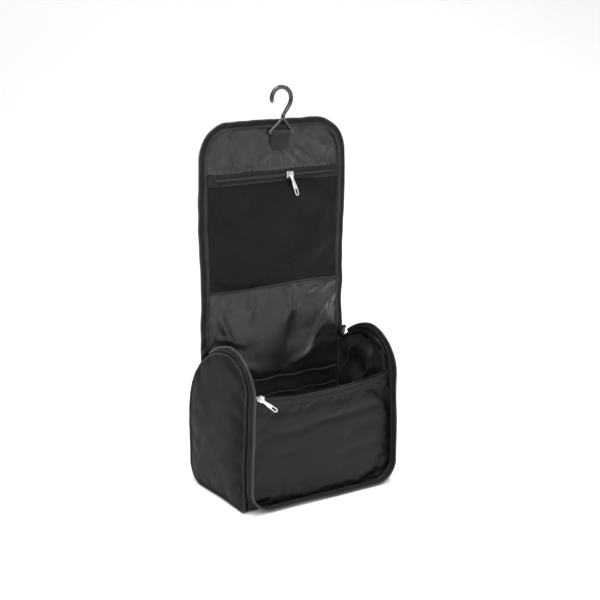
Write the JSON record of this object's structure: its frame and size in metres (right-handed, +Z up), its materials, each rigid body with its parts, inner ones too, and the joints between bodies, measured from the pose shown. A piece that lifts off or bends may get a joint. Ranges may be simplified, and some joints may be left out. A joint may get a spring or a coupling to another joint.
{
  "type": "hanging toiletry bag",
  "caption": "Arch-ended zip toiletry bag with a padded flap standing open behind it, a front zip pocket, a net pocket inside the flap and a folding hook.",
  "frame": {"origin": "on the table under the middle of the bag", "axes": "+X to the bag's right as seen from the front, +Y to the back, +Z up"},
  "size_m": [0.2217, 0.1562, 0.507],
  "materials": {
    "shell_nylon": "black satin-weave nylon with a faint sheen",
    "foam": "thin closed-cell foam sheet, inside the panels",
    "lining_cloth": "black coated lining, glossy",
    "mesh_net": "fine black knitted net",
    "zip_tape": "black woven zip tape",
    "zip_teeth": "black nylon zip teeth",
    "webbing": "black ribbed webbing and binding tape",
    "nickel": "polished nickel plate on cast zinc",
    "hook_plastic": "dark grey moulded plastic with a soft shine"
  },
  "bodies": {
    "bag_body": {"left_end_panel": "shell_nylon", "left_end_foam": "foam", "left_end_lining": "lining_cloth", "left_piping": "shell_nylon", "right_end_panel": "shell_nylon", "right_end_foam": "foam", "right_end_lining": "lining_cloth", "right_piping": "shell_nylon", "bottom_panel": "shell_nylon", "bottom_foam": "foam", "bottom_lining": "lining_cloth", "back_panel": "shell_nylon", "back_foam": "foam", "back_lining": "lining_cloth", "left_seam_binding": "webbing", "right_seam_binding": "webbing", "elastic_loop_strap": "webbing", "front_pocket_panel": "shell_nylon", "front_inner_wall": "shell_nylon", "front_lining": "lining_cloth", "front_zip_outer_half": "zip_tape", "front_zip_inner_half": "zip_tape", "body_zip_flange": "zip_tape", "body_zip_teeth": "zip_teeth"},
    "flap_hinge": {"flap_hinge_band": "shell_nylon", "main_zip_slider": "nickel"},
    "flap_rear": {"flap_rear_lining": "lining_cloth", "flap_rear_foam": "foam", "flap_rear_cover": "shell_nylon", "flap_rear_zip_tape_left": "zip_tape", "flap_rear_zip_tape_right": "zip_tape"},
    "flap_crest": {"flap_crest_lining": "lining_cloth", "flap_crest_foam": "foam", "flap_crest_cover": "shell_nylon", "flap_crest_zip_tape_left": "zip_tape", "flap_crest_zip_tape_right": "zip_tape", "flap_crest_mesh": "mesh_net"},
    "flap_brow": {"flap_brow_lining": "lining_cloth", "flap_brow_foam": "foam", "flap_brow_cover": "shell_nylon", "flap_brow_zip_tape_left": "zip_tape", "flap_brow_zip_tape_right": "zip_tape", "flap_brow_mesh": "mesh_net"},
    "flap_face": {"flap_face_lining": "lining_cloth", "flap_face_foam": "foam", "flap_face_cover": "shell_nylon", "flap_face_zip_tape": "zip_tape", "flap_face_mesh": "mesh_net", "flap_zip_tape": "zip_tape", "flap_zip_tab_left": "shell_nylon", "flap_zip_tab_right": "shell_nylon", "hook_webbing_loop": "webbing"},
    "flap_zip_slider": {"flap_zip_slider": "nickel"},
    "flap_zip_pull": {"flap_zip_pull": "nickel"},
    "front_zip_slider": {"front_zip_slider": "nickel"},
    "front_zip_pull": {"front_zip_pull": "nickel"},
    "main_zip_pull": {"main_zip_pull": "nickel"},
    "hook": {"hook": "hook_plastic"}
  },
  "joints": [
    {"name": "flap_close", "type": "hinge", "parent": "bag_body", "child": "flap_hinge", "pos_m": [0, 0.044, 0.171], "axis": [1, 0, 0], "range_deg": [0, 47]},
    {"name": "flap_lean_back", "type": "hinge", "parent": "flap_hinge", "child": "flap_rear", "pos_m": [0, 0.0495, 0.181], "axis": [1, 0, 0], "range_deg": [-115, 0]},
    {"name": "flap_fold_rear", "type": "hinge", "parent": "flap_rear", "child": "flap_crest", "pos_m": [0, 0.044, 0.218], "axis": [1, 0, 0], "range_deg": [0, 44.4]},
    {"name": "flap_fold_crest", "type": "hinge", "parent": "flap_crest", "child": "flap_brow", "pos_m": [0, 0.044, 0.273], "axis": [1, 0, 0], "range_deg": [0, 44.4]},
    {"name": "flap_fold_brow", "type": "hinge", "parent": "flap_brow", "child": "flap_face", "pos_m": [0, 0.044, 0.3254], "axis": [1, 0, 0], "range_deg": [0, 44.4]},
    {"name": "hook_fold", "type": "hinge", "parent": "flap_face", "child": "hook", "pos_m": [0.008, 0.0414, 0.448], "axis": [1, 0, 0], "range_deg": [0, 170.1]},
    {"name": "flap_zip_slide", "type": "slide", "parent": "flap_face", "child": "flap_zip_slider", "axis": [1, 0, 0], "range_m": [-0.1, 0.055]},
    {"name": "flap_pull_swing", "type": "hinge", "parent": "flap_zip_slider", "child": "flap_zip_pull", "pos_m": [0.021, 0.0375, 0.394], "axis": [0, 1, 0], "range_deg": [-30, 60]},
    {"name": "front_zip_slide", "type": "hinge", "parent": "bag_body", "child": "front_zip_slider", "pos_m": [0, -0.0635, 0.631], "axis": [0, -1, 0], "range_deg": [0, 18.3]},
    {"name": "front_pull_swing", "type": "hinge", "parent": "front_zip_slider", "child": "front_zip_pull", "pos_m": [-0.09076, -0.0671, 0.14368], "axis": [0, 1, 0], "range_deg": [-10, 65]},
    {"name": "main_pull_swing", "type": "hinge", "parent": "flap_hinge", "child": "main_zip_pull", "pos_m": [0.1105, 0.04725, 0.17625], "axis": [1, 0, 0], "range_deg": [-60, 60]}
  ],
  "couplings": [
    {"joint": "flap_fold_rear", "follows": "flap_close", "ratio": 0.94326},
    {"joint": "flap_fold_crest", "follows": "flap_close", "ratio": 0.94326},
    {"joint": "flap_fold_brow", "follows": "flap_close", "ratio": 0.94326},
    {"joint": "hook_fold", "follows": "flap_close", "ratio": 3.617}
  ]
}
